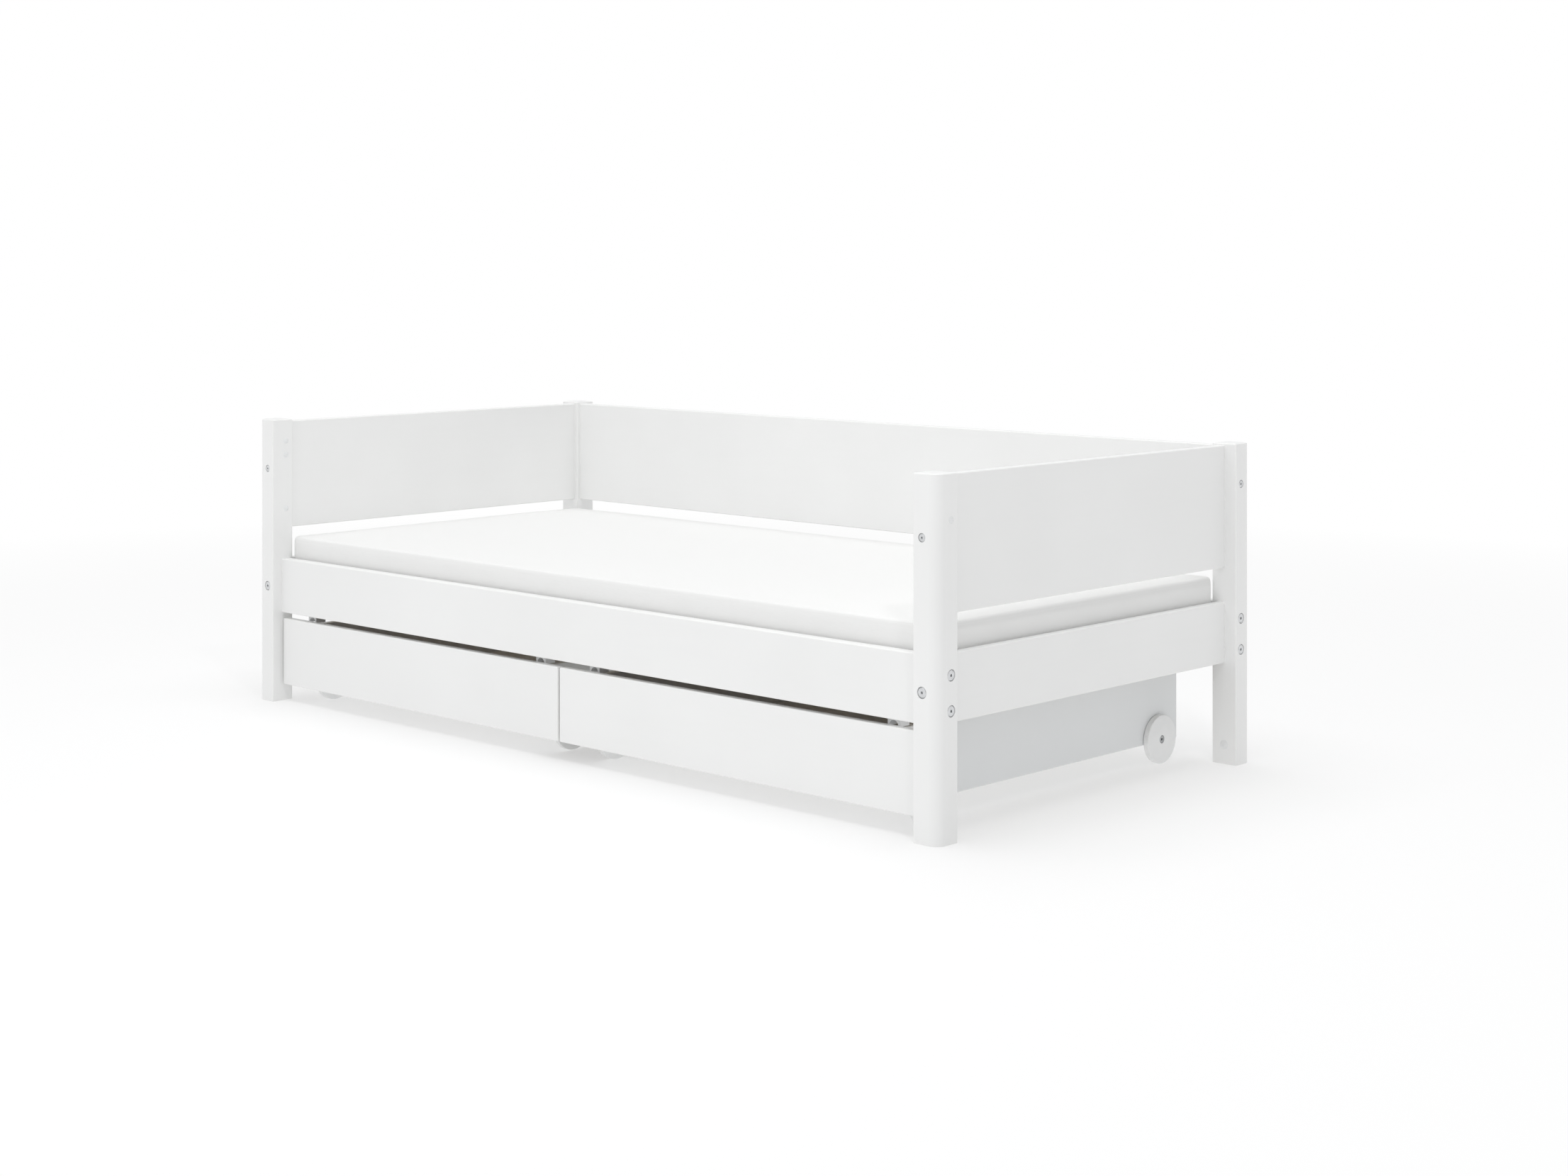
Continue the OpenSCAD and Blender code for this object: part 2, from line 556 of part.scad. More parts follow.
module left_drawer_front()       color(white) to_left() drawer_front();
module left_drawer_left_side()   color(white) to_left() mirror([1, 0, 0]) drawer_side();
module left_drawer_right_side()  color(white) to_left() drawer_side();
module left_drawer_back()        color(white) to_left() drawer_back();
module left_drawer_bottom()      color(white) to_left() drawer_bottom();
module left_drawer_dowels()      color(pine) to_left() drawer_dowels();
module left_drawer_cams()        color(steel) to_left() drawer_cams();
module left_drawer_axles()       color(steel) to_left() drawer_axles();
module left_drawer_washers()     color(steel) to_left() drawer_washers();
module right_drawer_front()      color(white) to_right() drawer_front();
module right_drawer_left_side()  color(white) to_right() mirror([1, 0, 0]) drawer_side();
module right_drawer_right_side() color(white) to_right() drawer_side();
module right_drawer_back()       color(white) to_right() drawer_back();
module right_drawer_bottom()     color(white) to_right() drawer_bottom();
module right_drawer_dowels()     color(pine) to_right() drawer_dowels();
module right_drawer_cams()       color(steel) to_right() drawer_cams();
module right_drawer_axles()      color(steel) to_right() drawer_axles();
module right_drawer_washers()    color(steel) to_right() drawer_washers();
module left_drawer_wheel_front_left()   color(plastic) to_left() mirror([1, 0, 0]) wheel_here(axle_ys[0]);
module left_drawer_wheel_front_right()  color(plastic) to_left() wheel_here(axle_ys[0]);
module left_drawer_wheel_back_left()    color(plastic) to_left() mirror([1, 0, 0]) wheel_here(axle_ys[1]);
module left_drawer_wheel_back_right()   color(plastic) to_left() wheel_here(axle_ys[1]);
module right_drawer_wheel_front_left()  color(plastic) to_right() mirror([1, 0, 0]) wheel_here(axle_ys[0]);
module right_drawer_wheel_front_right() color(plastic) to_right() wheel_here(axle_ys[0]);
module right_drawer_wheel_back_left()   color(plastic) to_right() mirror([1, 0, 0]) wheel_here(axle_ys[1]);
module right_drawer_wheel_back_right()  color(plastic) to_right() wheel_here(axle_ys[1]);

post_front_left();
post_front_right();
post_back_left();
post_back_right();
front_rail();
back_rail();
left_end_rail();
right_end_rail();
back_panel();
left_end_panel();
right_end_panel();
front_slat_ledge();
back_slat_ledge();
ledge_screws();
bed_slats();
slat_tapes();
slat_screws();
rail_bolts();
rail_barrel_nuts();
end_rail_bolts();
end_rail_barrel_nuts();
panel_bolts();
panel_inserts();
wood_dowels();
cap_plugs();
foot_plugs();
drawer_guide_blocks();
guide_screws();
mattress();
left_drawer_front();
left_drawer_left_side();
left_drawer_right_side();
left_drawer_back();
left_drawer_bottom();
left_drawer_dowels();
left_drawer_cams();
left_drawer_axles();
left_drawer_washers();
right_drawer_front();
right_drawer_left_side();
right_drawer_right_side();
right_drawer_back();
right_drawer_bottom();
right_drawer_dowels();
right_drawer_cams();
right_drawer_axles();
right_drawer_washers();
left_drawer_wheel_front_left();
left_drawer_wheel_front_right();
left_drawer_wheel_back_left();
left_drawer_wheel_back_right();
right_drawer_wheel_front_left();
right_drawer_wheel_front_right();
right_drawer_wheel_back_left();
right_drawer_wheel_back_right();
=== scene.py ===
import json
import math

import bmesh
import bpy
import numpy as np
from mathutils import Matrix, Vector


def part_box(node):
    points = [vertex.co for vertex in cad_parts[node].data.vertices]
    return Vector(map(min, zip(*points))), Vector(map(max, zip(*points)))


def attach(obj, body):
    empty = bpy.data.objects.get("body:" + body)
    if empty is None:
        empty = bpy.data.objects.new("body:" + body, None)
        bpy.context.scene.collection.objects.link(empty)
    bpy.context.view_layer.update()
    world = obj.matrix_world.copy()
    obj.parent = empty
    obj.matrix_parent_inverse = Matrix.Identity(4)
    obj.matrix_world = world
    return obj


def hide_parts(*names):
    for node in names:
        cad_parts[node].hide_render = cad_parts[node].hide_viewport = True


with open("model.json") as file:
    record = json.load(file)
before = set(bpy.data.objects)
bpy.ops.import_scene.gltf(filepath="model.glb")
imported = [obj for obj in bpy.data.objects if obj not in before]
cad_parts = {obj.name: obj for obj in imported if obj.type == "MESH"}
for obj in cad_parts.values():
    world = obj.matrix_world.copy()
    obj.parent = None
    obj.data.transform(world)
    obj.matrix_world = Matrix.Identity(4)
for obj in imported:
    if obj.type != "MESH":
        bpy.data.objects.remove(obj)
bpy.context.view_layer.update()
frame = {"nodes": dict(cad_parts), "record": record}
scene = bpy.context.scene
NODES = frame["nodes"]


# ---------------------------------------------------------------- node helpers

class Tree:
    """A material being made: one Principled shader and short calls for the nodes round it."""

    def __init__(self, name, **uniform):
        self.material = bpy.data.materials.new(name)
        self.material.use_nodes = True
        self.tree = self.material.node_tree
        self.tree.nodes.clear()
        self.out = self.add("ShaderNodeOutputMaterial")
        self.shader = self.add("ShaderNodeBsdfPrincipled")
        self.link(self.shader.outputs[0], self.out.inputs[0])
        for key, value in uniform.items():
            self.shader.inputs[key.replace("_", " ")].default_value = value
        self.coords = self.add("ShaderNodeTexCoord").outputs["Object"]

    def add(self, kind):
        return self.tree.nodes.new(kind)

    def link(self, a, b):
        self.tree.links.new(a, b)

    def put(self, socket, value):
        if isinstance(value, bpy.types.NodeSocket):
            self.link(value, socket)
        else:
            socket.default_value = value

    def math(self, operation, a, b=0.0, c=0.0, clamp=False):
        n = self.add("ShaderNodeMath")
        n.operation = operation
        n.use_clamp = clamp
        for socket, value in zip(n.inputs, (a, b, c)):
            self.put(socket, value)
        return n.outputs[0]

    def stretched(self, scale, offset=(0, 0, 0)):
        n = self.add("ShaderNodeMapping")
        n.vector_type = "POINT"
        self.link(self.coords, n.inputs["Vector"])
        n.inputs["Location"].default_value = offset
        n.inputs["Scale"].default_value = scale
        return n.outputs[0]

    def noise(self, vector, scale, detail=3.0, roughness=0.5, distortion=0.0):
        n = self.add("ShaderNodeTexNoise")
        n.noise_dimensions = "3D"
        self.link(vector, n.inputs["Vector"])
        n.inputs["Scale"].default_value = scale
        n.inputs["Detail"].default_value = detail
        n.inputs["Roughness"].default_value = roughness
        n.inputs["Distortion"].default_value = distortion
        return n.outputs["Fac"] if "Fac" in n.outputs else n.outputs[0]

    def ramp(self, fac, stops):
        n = self.add("ShaderNodeValToRGB")
        self.link(fac, n.inputs[0])
        e = n.color_ramp.elements
        e[0].position, e[0].color = stops[0][0], (*stops[0][1], 1)
        e[1].position, e[1].color = stops[-1][0], (*stops[-1][1], 1)
        for position, colour in stops[1:-1]:
            k = e.new(position)
            k.color = (*colour, 1)
        return n.outputs[0]

    def spread(self, value, low, high, to_low, to_high):
        n = self.add("ShaderNodeMapRange")
        n.clamp = True
        self.link(value, n.inputs["Value"])
        for key, v in (("From Min", low), ("From Max", high), ("To Min", to_low), ("To Max", to_high)):
            n.inputs[key].default_value = v
        return n.outputs[0]

    def mix(self, fac, a, b, blend="MIX"):
        n = self.add("ShaderNodeMix")
        n.data_type = "RGBA"
        n.blend_type = blend
        self.put(n.inputs[0], fac)
        sockets = [s for s in n.inputs if s.type == "RGBA"]
        for socket, value in zip(sockets, (a, b)):
            self.put(socket, value if isinstance(value, bpy.types.NodeSocket) else (*value, 1))
        return [s for s in n.outputs if s.type == "RGBA"][0]

    def bump(self, height, distance, strength=1.0, before=None):
        n = self.add("ShaderNodeBump")
        n.inputs["Strength"].default_value = strength
        n.inputs["Distance"].default_value = distance
        self.link(height, n.inputs["Height"])
        if before is not None:
            self.link(before, n.inputs["Normal"])
        return n.outputs[0]

    def edges(self, lo, hi, width):
        """1 along the edges of the box from lo to hi, falling to 0 at width from them."""
        centre = [(a + b) / 2 for a, b in zip(lo, hi)]
        half = [(b - a) / 2 for a, b in zip(lo, hi)]
        split = self.add("ShaderNodeSeparateXYZ")
        self.link(self.coords, split.inputs[0])
        gaps = []
        for k in range(3):
            away = self.math("ABSOLUTE", self.math("SUBTRACT", split.outputs[k], centre[k]))
            gaps.append(self.math("SUBTRACT", half[k], away))
        small = self.math("MINIMUM", gaps[0], gaps[1])
        large = self.math("MAXIMUM", gaps[0], gaps[1])
        second = self.math("MAXIMUM", small, self.math("MINIMUM", large, gaps[2]))
        return self.spread(second, 0.0, width, 1.0, 0.0)


def dress(node, material):
    """The material on a CAD node."""
    mesh = NODES[node].data
    mesh.materials.clear()
    mesh.materials.append(material)


ALONG = {"x": (0.06, 1.0, 1.0), "y": (1.0, 0.06, 1.0), "z": (1.0, 1.0, 0.06)}


def lacquer(name, grain, box=None, tone=(0.880, 0.882, 0.878), seed=0.0):
    """White satin lacquer sprayed on wood: faint grain under it, orange-peel, and rougher worn edges that are also
    painted lighter as a painted edge highlight.
    """
    t = Tree(name, Coat_Weight=0.18, Coat_Roughness=0.22, Coat_IOR=1.5, IOR=1.48)
    where = t.stretched(ALONG[grain], (seed * 0.37, seed * 0.61, seed * 0.23))
    fibres = t.noise(where, 240.0, 4.0, 0.62, 0.3)
    figure = t.noise(where, 34.0, 3.0, 0.55, 1.2)
    cloud = t.noise(t.coords, 3.1, 2.0, 0.5)
    peel = t.noise(t.coords, 420.0, 2.0, 0.55)
    dark = tuple(c * f for c, f in zip(tone, (0.955, 0.952, 0.945)))
    light = tuple(min(1.0, c * 1.018) for c in tone)
    colour = t.ramp(cloud, [(0.30, tuple(c * 0.985 for c in tone)), (0.70, light)])
    grainy = t.math("MULTIPLY", t.spread(figure, 0.42, 0.75, 0.0, 1.0), t.spread(fibres, 0.35, 0.7, 0.2, 1.0))
    colour = t.mix(t.math("MULTIPLY", grainy, 0.16), colour, dark)
    rough = t.spread(t.noise(t.coords, 46.0, 4.0, 0.6), 0.3, 0.7, 0.30, 0.40)
    if box is not None:
        # painted edge highlight and wear: every edge of the part is painted lighter and warmer in broken patches,
        # and made rougher
        worn_and_highlit_edges = t.edges(box[0], box[1], 0.0055)
        broken_wear_and_highlight = t.math("MULTIPLY", worn_and_highlit_edges, t.spread(t.noise(t.coords, 75.0, 4.0, 0.6), 0.35, 0.68, 0.15, 1.0))
        colour = t.mix(t.math("MULTIPLY", broken_wear_and_highlight, 0.5), colour, (0.915, 0.908, 0.888))
        rough = t.math("ADD", rough, t.math("MULTIPLY", broken_wear_and_highlight, 0.10))
    t.link(colour, t.shader.inputs["Base Color"])
    t.link(rough, t.shader.inputs["Roughness"])
    normal = t.bump(fibres, 0.00007, 0.22)
    normal = t.bump(figure, 0.00014, 0.16, normal)
    normal = t.bump(peel, 0.00005, 0.30, normal)
    t.link(normal, t.shader.inputs["Normal"])
    return t.material


def softwood(name, grain, seed=0.0):
    """Planed pine: growth rings drawn out along the board, fibres, small dark flecks and a few knots."""
    t = Tree(name, IOR=1.45)
    squash = {"x": (0.05, 1.0, 1.0), "y": (1.0, 0.05, 1.0), "z": (1.0, 1.0, 0.05)}[grain]
    where = t.stretched(squash, (seed * 0.41, seed * 0.17, seed * 0.53))
    rings = t.add("ShaderNodeTexWave")
    rings.wave_type = "RINGS"
    rings.rings_direction = grain.upper()
    t.link(where, rings.inputs["Vector"])
    rings.inputs["Scale"].default_value = 38.0
    rings.inputs["Distortion"].default_value = 5.5
    rings.inputs["Detail"].default_value = 3.0
    rings.inputs["Detail Scale"].default_value = 1.3
    band = rings.outputs["Fac"] if "Fac" in rings.outputs else rings.outputs[1]
    fibres = t.noise(where, 420.0, 4.0, 0.6, 0.2)
    cloud = t.noise(t.coords, 5.0, 2.0, 0.5)
    colour = t.ramp(band, [(0.0, (0.72, 0.57, 0.40)), (0.45, (0.79, 0.66, 0.49)), (1.0, (0.83, 0.72, 0.56))])
    colour = t.mix(t.spread(cloud, 0.3, 0.7, 0.0, 0.35), colour, (0.70, 0.55, 0.38))
    colour = t.mix(t.spread(fibres, 0.55, 0.75, 0.0, 0.35), colour, (0.52, 0.39, 0.26))
    cells = t.add("ShaderNodeTexVoronoi")
    cells.feature = "F1"
    t.link(t.stretched(tuple(0.35 if s < 1 else 1.0 for s in squash)), cells.inputs["Vector"])
    cells.inputs["Scale"].default_value = 4.2
    knot = t.spread(cells.outputs["Distance"], 0.030, 0.055, 1.0, 0.0)
    colour = t.mix(t.math("MULTIPLY", knot, 0.85), colour, (0.27, 0.14, 0.07))
    t.link(colour, t.shader.inputs["Base Color"])
    t.link(t.spread(fibres, 0.3, 0.7, 0.52, 0.68), t.shader.inputs["Roughness"])
    normal = t.bump(fibres, 0.00020, 0.4)
    normal = t.bump(band, 0.00025, 0.3, normal)
    t.link(normal, t.shader.inputs["Normal"])
    return t.material


def zinc(name, tone=(0.70, 0.71, 0.72), rough=(0.26, 0.42)):
    """Zinc-plated steel with turning marks and handling marks."""
    t = Tree(name, Metallic=1.0)
    grit = t.noise(t.coords, 900.0, 3.0, 0.6)
    patch = t.noise(t.coords, 130.0, 3.0, 0.6)
    colour = t.ramp(patch, [(0.3, tuple(c * 0.86 for c in tone)), (0.7, tuple(min(1, c * 1.10) for c in tone))])
    t.link(colour, t.shader.inputs["Base Color"])
    t.link(t.spread(patch, 0.3, 0.7, rough[0], rough[1]), t.shader.inputs["Roughness"])
    scratch = t.noise(t.stretched((1.0, 1.0, 0.08)), 1500.0, 2.0, 0.5)
    normal = t.bump(grit, 0.00002, 0.5)
    normal = t.bump(scratch, 0.00002, 0.4, normal)
    t.link(normal, t.shader.inputs["Normal"])
    return t.material


def moulded(name, tone=(0.86, 0.865, 0.868), centre=None, gloss=0.0):
    """White moulded plastic: fine texture, faint flow marks, turning lines on a wheel's face."""
    t = Tree(name, IOR=1.46, Coat_Weight=0.05, Coat_Roughness=0.3)
    fine = t.noise(t.coords, 1400.0, 2.0, 0.5)
    flow = t.noise(t.coords, 24.0, 3.0, 0.5, 0.8)
    colour = t.ramp(flow, [(0.3, tuple(c * 0.97 for c in tone)), (0.7, tone)])
    rough = t.spread(flow, 0.3, 0.7, 0.36 - gloss, 0.46 - gloss)
    normal = t.bump(fine, 0.00003, 0.45)
    if centre is not None:
        split = t.add("ShaderNodeSeparateXYZ")
        t.link(t.coords, split.inputs[0])
        dy = t.math("SUBTRACT", split.outputs[1], centre[1])
        dz = t.math("SUBTRACT", split.outputs[2], centre[2])
        radius = t.math("SQRT", t.math("ADD", t.math("MULTIPLY", dy, dy), t.math("MULTIPLY", dz, dz)))
        lines = t.math("SINE", t.math("MULTIPLY", radius, 2 * math.pi / 0.0016))
        normal = t.bump(lines, 0.00003, 0.35, normal)
        tread = t.spread(radius, 0.0470, 0.0500, 0.0, 1.0)
        dirt = t.math("MULTIPLY", tread, t.spread(t.noise(t.coords, 160.0, 4.0, 0.65), 0.4, 0.7, 0.0, 0.22))
        colour = t.mix(dirt, colour, (0.62, 0.61, 0.59))
        rough = t.math("ADD", rough, t.math("MULTIPLY", tread, 0.12))
    t.link(colour, t.shader.inputs["Base Color"])
    t.link(rough, t.shader.inputs["Roughness"])
    t.link(normal, t.shader.inputs["Normal"])
    return t.material


def hardboard(name):
    """Thin white-faced board: fine pressed texture."""
    t = Tree(name, IOR=1.45)
    fine = t.noise(t.coords, 700.0, 3.0, 0.6)
    cloud = t.noise(t.coords, 7.0, 3.0, 0.5)
    colour = t.ramp(cloud, [(0.3, (0.82, 0.82, 0.81)), (0.7, (0.86, 0.86, 0.85))])
    t.link(colour, t.shader.inputs["Base Color"])
    t.link(t.spread(cloud, 0.3, 0.7, 0.45, 0.55), t.shader.inputs["Roughness"])
    t.link(t.bump(fine, 0.00005, 0.4), t.shader.inputs["Normal"])
    return t.material


def woven(name, pitch, tone, thread_shade_and_slub_tone, depth, slub=0.25):
    """Plain weave: threads over and under each other, with painted shade in the hollows between them, slubs, soft
    sheen.
    """
    t = Tree(name, IOR=1.4, Roughness=0.88, Sheen_Weight=0.25, Sheen_Roughness=0.5)
    split = t.add("ShaderNodeSeparateXYZ")
    warp = t.noise(t.coords, 9.0, 2.0, 0.5)
    t.link(t.coords, split.inputs[0])
    k = math.pi / pitch
    x = t.math("MULTIPLY", t.math("ADD", split.outputs[0], t.math("MULTIPLY", warp, pitch * 0.8)), k)
    y = t.math("MULTIPLY", t.math("ADD", split.outputs[1], t.math("MULTIPLY", warp, pitch * 0.8)), k)
    z = t.math("MULTIPLY", split.outputs[2], k)
    u = t.math("ABSOLUTE", t.math("SINE", x))
    v = t.math("ABSOLUTE", t.math("SINE", y))
    w = t.math("ABSOLUTE", t.math("SINE", z))
    over = t.math("MULTIPLY", t.math("SINE", x), t.math("SINE", y))
    # on the top the threads run along X and Y; on the sides the third direction takes over
    geometry = t.add("ShaderNodeNewGeometry")
    facing = t.add("ShaderNodeSeparateXYZ")
    t.link(geometry.outputs["Normal"], facing.inputs[0])
    up = t.spread(t.math("ABSOLUTE", facing.outputs[2]), 0.4, 0.8, 0.0, 1.0)
    flat = t.math("ADD", t.math("MAXIMUM", u, v), t.math("MULTIPLY", over, 0.35))
    along = t.math("MAXIMUM", t.math("MAXIMUM", t.math("MULTIPLY", u, v), w), 0.0)
    height = t.math("ADD", t.math("MULTIPLY", flat, up), t.math("MULTIPLY", along, t.math("SUBTRACT", 1.0, up)))
    slubs = t.noise(t.stretched((0.12, 1.0, 1.0)), 700.0, 3.0, 0.6)
    # painted shade: the colour darkens where the weave dips between threads; the slubs below use the same darker
    # tone as a real yarn colour change
    colour = t.mix(t.spread(height, 0.45, 1.2, 0.55, 0.0), tone, thread_shade_and_slub_tone)
    colour = t.mix(t.spread(slubs, 0.5, 0.75, 0.0, slub), colour, thread_shade_and_slub_tone)
    t.link(colour, t.shader.inputs["Base Color"])
    normal = t.bump(height, depth, 0.5)
    normal = t.bump(t.noise(t.coords, 55.0, 3.0, 0.5), 0.0006, 0.12, normal)
    t.link(normal, t.shader.inputs["Normal"])
    return t.material


# ---------------------------------------------------------------- materials on the CAD nodes

def grain_of(node):
    lo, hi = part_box(node)
    size = [hi[k] - lo[k] for k in range(3)]
    return "xyz"[size.index(max(size))]


SLOTS = {s["node"]: s["material_slot"] for s in frame["record"]["subparts"]}
steel = zinc("zinc_plated_steel")
dark_steel = zinc("hex_bolt_steel", (0.50, 0.51, 0.52), (0.28, 0.46))
board = hardboard("white_faced_board")
plastic = moulded("white_moulded_plastic")
caps = moulded("white_plastic_caps", (0.83, 0.838, 0.842), gloss=0.12)
pines = {g: softwood("pine_along_" + g, g, s) for g, s in (("x", 1.0), ("y", 2.0), ("z", 3.0))}

for index, (node, slot) in enumerate(sorted(SLOTS.items())):
    lo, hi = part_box(node)
    if slot == "white_lacquer":
        tone = (0.860, 0.876, 0.884) if node.endswith(("_drawer_left_side", "_drawer_right_side", "_drawer_back")) else (0.880, 0.882, 0.878)
        dress(node, lacquer("lacquer_" + node, grain_of(node), (lo, hi), tone, float(index)))
    elif slot == "pine":
        dress(node, pines["y" if node == "bed_slats" else grain_of(node)])
    elif slot == "steel":
        dress(node, dark_steel if node.endswith("_axles") else steel)
    elif slot == "white_board":
        dress(node, board)
    elif slot == "white_plastic":
        if "_wheel_" in node:
            centre = [(a + b) / 2 for a, b in zip(lo, hi)]
            dress(node, moulded("wheel_" + node, (0.93, 0.935, 0.935), centre, 0.08))
        elif node in ("cap_plugs", "foot_plugs"):
            dress(node, caps)
        else:
            dress(node, plastic)


# ---------------------------------------------------------------- mattress

def even(length, bands, step):
    """Coordinates from -length/2 to length/2: close together by the edges, even between them."""
    half = length / 2
    side = [half - b for b in bands]
    inner = side[-1]
    n = max(2, round(2 * inner / step))
    middle = [-inner + 2 * inner * i / n for i in range(1, n)]
    return [-s for s in side] + middle + side[::-1]


def soft_box(sx, sy, sz, edge, corner, step):
    """A closed grid box with edges rounded to edge and upright corners rounded to corner, centred on the origin."""
    bands = [0.0, 0.0012, 0.0026, 0.0040, edge, 0.0090, 0.0145, corner, 0.026, 0.036, 0.052]
    xs, ys = even(sx, bands, step), even(sy, bands, step)
    zs = even(sz, [0.0, 0.0012, 0.0026, 0.0040, edge, 0.010, 0.018], 0.013)
    hx, hy, hz = sx / 2, sy / 2, sz / 2

    def place(x, y, z):
        out = max(abs(x) - (hx - edge), abs(y) - (hy - edge), 0.0)
        up = max(abs(z) - (hz - edge), 0.0)
        if out > 1e-9 and up > 1e-9:
            k = max(out, up) / math.hypot(out, up)
            new_out, new_up = out * k, up * k
            for_x = abs(x) - (hx - edge)
            for_y = abs(y) - (hy - edge)
            if for_x > 0:
                x = math.copysign(hx - edge + for_x * new_out / out, x)
            if for_y > 0:
                y = math.copysign(hy - edge + for_y * new_out / out, y)
            z = math.copysign(hz - edge + new_up, z)
        dx, dy = abs(x) - (hx - corner), abs(y) - (hy - corner)
        if dx > 1e-9 and dy > 1e-9:
            k = max(dx, dy) / math.hypot(dx, dy)
            x = math.copysign(hx - corner + dx * k, x)
            y = math.copysign(hy - corner + dy * k, y)
        return x, y, z

    mesh = bpy.data.meshes.new("mattress_pad")
    made, index, faces = [], {}, []

    def vertex(i, j, k):
        key = (i, j, k)
        if key not in index:
            index[key] = len(made)
            made.append(place(xs[i], ys[j], zs[k]))
        return index[key]

    nx, ny, nz = len(xs) - 1, len(ys) - 1, len(zs) - 1
    for i in range(nx):
        for j in range(ny):
            faces.append([vertex(i, j, 0), vertex(i, j + 1, 0), vertex(i + 1, j + 1, 0), vertex(i + 1, j, 0)])
            faces.append([vertex(i, j, nz), vertex(i + 1, j, nz), vertex(i + 1, j + 1, nz), vertex(i, j + 1, nz)])
    for k in range(nz):
        for i in range(nx):
            faces.append([vertex(i, 0, k), vertex(i + 1, 0, k), vertex(i + 1, 0, k + 1), vertex(i, 0, k + 1)])
            faces.append([vertex(i, ny, k), vertex(i, ny, k + 1), vertex(i + 1, ny, k + 1), vertex(i + 1, ny, k)])
        for j in range(ny):
            faces.append([vertex(0, j, k), vertex(0, j, k + 1), vertex(0, j + 1, k + 1), vertex(0, j + 1, k)])
            faces.append([vertex(nx, j, k), vertex(nx, j + 1, k), vertex(nx, j + 1, k + 1), vertex(nx, j, k + 1)])
    mesh.from_pydata(made, [], faces)
    mesh.update()
    return mesh


def make_mattress():
    lo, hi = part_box("mattress")
    size = hi - lo
    middle = (lo + hi) / 2
    mesh = soft_box(size.x - 0.002, size.y - 0.002, size.z - 0.0008, 0.0055, 0.0205, 0.021)
    pad = bpy.data.objects.new("mattress_pad", mesh)
    scene.collection.objects.link(pad)
    mesh.transform(Matrix.Translation(middle))
    mesh.update()
    rest = np.array([v.co for v in mesh.vertices], float)
    group = pad.vertex_groups.new(name="held")
    below = [i for i, p in enumerate(rest) if p[2] < lo.z + 0.012]
    group.add(below, 1.0, "ADD")
    cloth = pad.modifiers.new("Cloth", "CLOTH")
    s = cloth.settings
    s.quality = 5
    s.mass = 0.25
    s.tension_stiffness = s.compression_stiffness = 22
    s.shear_stiffness = 12
    s.bending_stiffness = 1.5
    s.use_pressure = True
    s.uniform_pressure_force = 3.5
    s.vertex_group_mass = "held"
    s.effector_weights.gravity = 0
    cloth.collision_settings.use_collision = False
    scene.frame_start, scene.frame_end = 1, 20
    cloth.point_cache.frame_start, cloth.point_cache.frame_end = 1, 20
    for f in range(1, 21):
        scene.frame_set(f)
    evaluated = pad.evaluated_get(bpy.context.evaluated_depsgraph_get())
    co = np.array([v.co for v in evaluated.data.vertices], float)
    pad.modifiers.remove(cloth)
    scene.frame_set(1)
    pad.vertex_groups.clear()
    move = co - rest
    # the cover holds the foam: the swelling is limited, less at the sides than on top
    far = np.linalg.norm(move, axis=1, keepdims=True) + 1e-9
    top = np.clip((rest[:, 2:3] - (hi.z - 0.012)) / 0.011, 0, 1)
    cap = 0.0018 + 0.0030 * top
    move = move / far * cap * np.tanh(far / (cap * 3))
    rest = rest + move
    # a person's use: the top is a touch lower along the middle of the front and in two broad hollows
    x, y, z = rest[:, 0], rest[:, 1], rest[:, 2]
    top = np.clip((z - (hi.z - 0.03)) / 0.03, 0, 1)
    hollow = 0.0016 * np.exp(-((x + 0.35) / 0.42) ** 2 - ((y + 0.02) / 0.26) ** 2) + 0.0012 * np.exp(-((x - 0.45) / 0.38) ** 2 - ((y - 0.05) / 0.24) ** 2)
    wave = 0.00045 * np.sin(x * 9.1 + 1.3 * np.sin(y * 5.3)) * np.cos(y * 11.7 + 0.8 * np.sin(x * 4.1))
    rest[:, 2] = z + top * (wave - hollow)
    mesh.vertices.foreach_set("co", rest.astype(np.float32).ravel())
    mesh.update()
    for p in mesh.polygons:
        p.use_smooth = True
    sub = pad.modifiers.new("Soft", "SUBSURF")
    sub.levels = sub.render_levels = 1
    mesh.materials.append(woven("mattress_cover", 0.0011, (0.905, 0.905, 0.899), (0.79, 0.79, 0.78), 0.00024))
    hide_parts("mattress")
    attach(pad, "mattress")
    return pad


make_mattress()


# ---------------------------------------------------------------- webbing under the slats

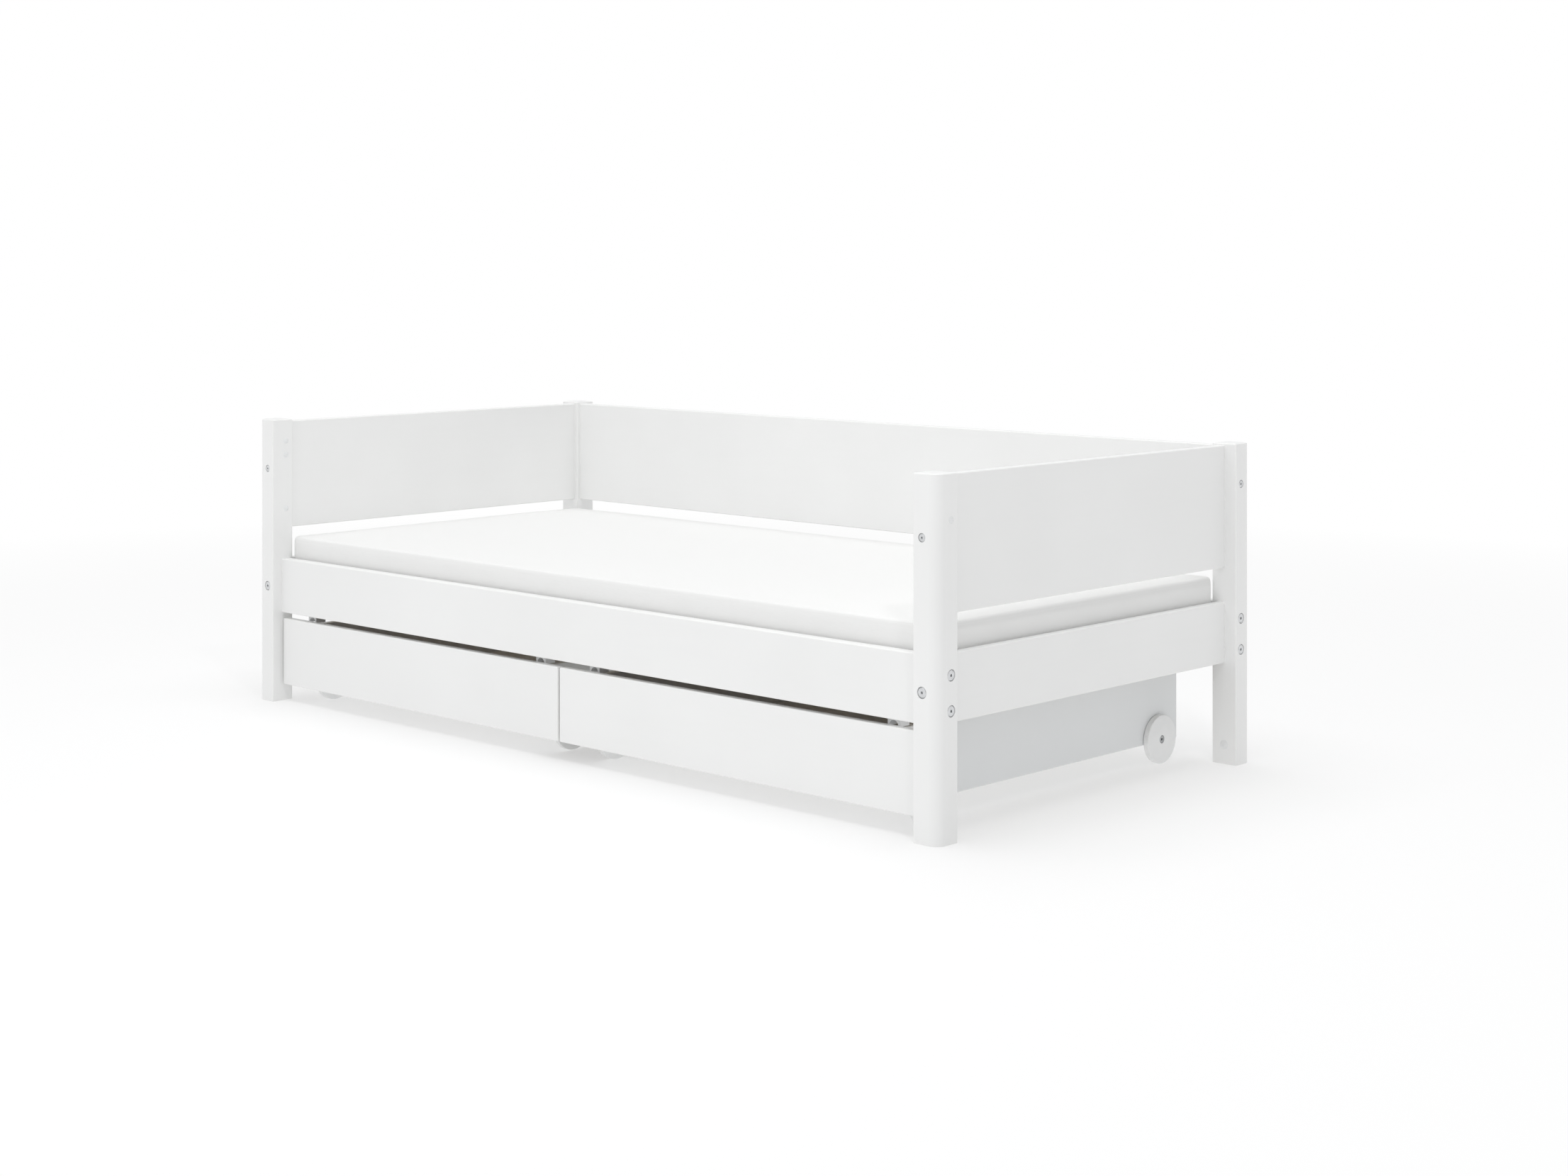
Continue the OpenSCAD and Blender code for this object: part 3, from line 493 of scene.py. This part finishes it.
def make_tapes():
    lo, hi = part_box("slat_tapes")
    cloth = woven("cotton_webbing", 0.0013, (0.80, 0.775, 0.72), (0.60, 0.57, 0.51), 0.0003, 0.3)
    count = 14
    length = hi.x - lo.x
    slat = 0.068
    pitch = (length - slat) / (count - 1)
    for name, y in (("front", lo.y + 0.0125), ("back", hi.y - 0.0125)):
        points = []
        n = 330
        for i in range(n + 1):
            x = lo.x + 0.002 + (length - 0.004) * i / n
            s = (x - lo.x) % pitch
            z = hi.z
            if s > slat:
                u = (s - slat) / (pitch - slat)
                z -= 0.0032 * math.sin(math.pi * u) ** 2
            points.append((x, z))
        half, thick = 0.0122, 0.0010
        profile = [(-half, 0.0), (-half + 0.0008, 0.00022), (half - 0.0008, 0.00022), (half, 0.0),
                   (half, -thick), (half - 0.0008, -thick - 0.00015), (-half + 0.0008, -thick - 0.00015), (-half, -thick)]
        verts, faces = [], []
        for x, z in points:
            for dy, dz in profile:
                verts.append((x, y + dy, z - 0.0003 + dz))
        m = len(profile)
        for i in range(n):
            for k in range(m):
                a, b = i * m + k, i * m + (k + 1) % m
                faces.append([a, b, b + m, a + m])
        faces.append([k for k in range(m)])
        faces.append([n * m + k for k in range(m)][::-1])
        mesh = bpy.data.meshes.new("slat_tape_" + name)
        mesh.from_pydata(verts, [], faces)
        mesh.update()
        bm = bmesh.new()
        bm.from_mesh(mesh)
        bmesh.ops.recalc_face_normals(bm, faces=bm.faces)
        bm.to_mesh(mesh)
        bm.free()
        tape = bpy.data.objects.new("slat_tape_" + name, mesh)
        scene.collection.objects.link(tape)
        mesh.materials.append(cloth)
        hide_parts("slat_tapes")
        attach(tape, "frame")


make_tapes()


# ---------------------------------------------------------------- floor, light and camera

def make_floor():
    mesh = bpy.data.meshes.new("studio_floor")
    r, n = 60.0, 96
    verts = [(r * math.cos(2 * math.pi * i / n), r * math.sin(2 * math.pi * i / n), 0.0) for i in range(n)]
    mesh.from_pydata(verts, [], [list(range(n))])
    floor = bpy.data.objects.new("studio_floor", mesh)
    floor.location.z = -0.0002
    scene.collection.objects.link(floor)
    t = Tree("pale_floor", Roughness=0.6, IOR=1.3)
    t.shader.inputs["Base Color"].default_value = (0.93, 0.93, 0.93, 1)
    t.shader.inputs["Specular IOR Level"].default_value = 0.15
    glow = t.add("ShaderNodeEmission")
    glow.inputs[0].default_value = (1, 1, 1, 1)
    glow.inputs[1].default_value = 1.0
    split = t.add("ShaderNodeVectorMath")
    split.operation = "LENGTH"
    t.link(t.coords, split.inputs[0])
    fade = t.spread(split.outputs["Value"], 1.3, 4.5, 0.42, 1.0)
    mixer = t.add("ShaderNodeMixShader")
    t.link(fade, mixer.inputs[0])
    t.link(t.shader.outputs[0], mixer.inputs[1])
    t.link(glow.outputs[0], mixer.inputs[2])
    t.link(mixer.outputs[0], t.out.inputs[0])
    mesh.materials.append(t.material)


make_floor()

world = bpy.data.worlds.new("studio")
scene.world = world
world.use_nodes = True
wt = world.node_tree
wt.nodes.clear()
w_out = wt.nodes.new("ShaderNodeOutputWorld")
seen = wt.nodes.new("ShaderNodeBackground")
seen.inputs[0].default_value = (1, 1, 1, 1)
seen.inputs[1].default_value = 1.0
light = wt.nodes.new("ShaderNodeBackground")
light.inputs[0].default_value = (0.992, 0.997, 1.0, 1)
# the room is a little darker on the +X side
toward = wt.nodes.new("ShaderNodeTexCoord")
parts = wt.nodes.new("ShaderNodeSeparateXYZ")
wt.links.new(toward.outputs["Generated"], parts.inputs[0])
dim = wt.nodes.new("ShaderNodeMapRange")
dim.clamp = True
for key, v in (("From Min", 0.0), ("From Max", 1.0), ("To Min", 0.76), ("To Max", 0.49)):
    dim.inputs[key].default_value = v
wt.links.new(parts.outputs[0], dim.inputs["Value"])
wt.links.new(dim.outputs[0], light.inputs[1])
ray = wt.nodes.new("ShaderNodeLightPath")
pick = wt.nodes.new("ShaderNodeMixShader")
wt.links.new(ray.outputs["Is Camera Ray"], pick.inputs[0])
wt.links.new(light.outputs[0], pick.inputs[1])
wt.links.new(seen.outputs[0], pick.inputs[2])
wt.links.new(pick.outputs[0], w_out.inputs[0])


def softbox(name, place, aim, size, power, colour=(1, 1, 1)):
    data = bpy.data.lights.new(name, "AREA")
    data.shape = "RECTANGLE"
    data.size, data.size_y = size
    data.energy = power
    data.color = colour
    obj = bpy.data.objects.new(name, data)
    obj.location = place
    obj.rotation_euler = (Vector(aim) - Vector(place)).to_track_quat("-Z", "Y").to_euler()
    scene.collection.objects.link(obj)
    obj.visible_camera = False
    return obj


softbox("top_box", (0.0, -0.2, 5.5), (0, 0, 0.3), (5.0, 5.0), 121)
softbox("front_box", (0.3, -4.6, 2.2), (0, -0.4, 0.25), (3.6, 2.4), 15)
softbox("key_box", (4.0, -2.5, 5.0), (0.3, 0.0, 0.3), (0.40, 0.40), 32)

camera_data = bpy.data.cameras.new("photo_camera")
camera = bpy.data.objects.new("photo_camera", camera_data)
camera.location = (3.80819, -3.79686, 1.05343)
camera.rotation_euler = (math.radians(90), 0, math.radians(43.615))
camera_data.sensor_width = 36
camera_data.lens = 55.617
camera_data.shift_y = -0.21338
camera_data.clip_end = 200
scene.collection.objects.link(camera)
scene.camera = camera

scene.view_settings.view_transform = "Standard"
scene.view_settings.look = "None"
scene.cycles.use_denoising = True
scene.cycles.max_bounces = 10
scene.cycles.diffuse_bounces = 6
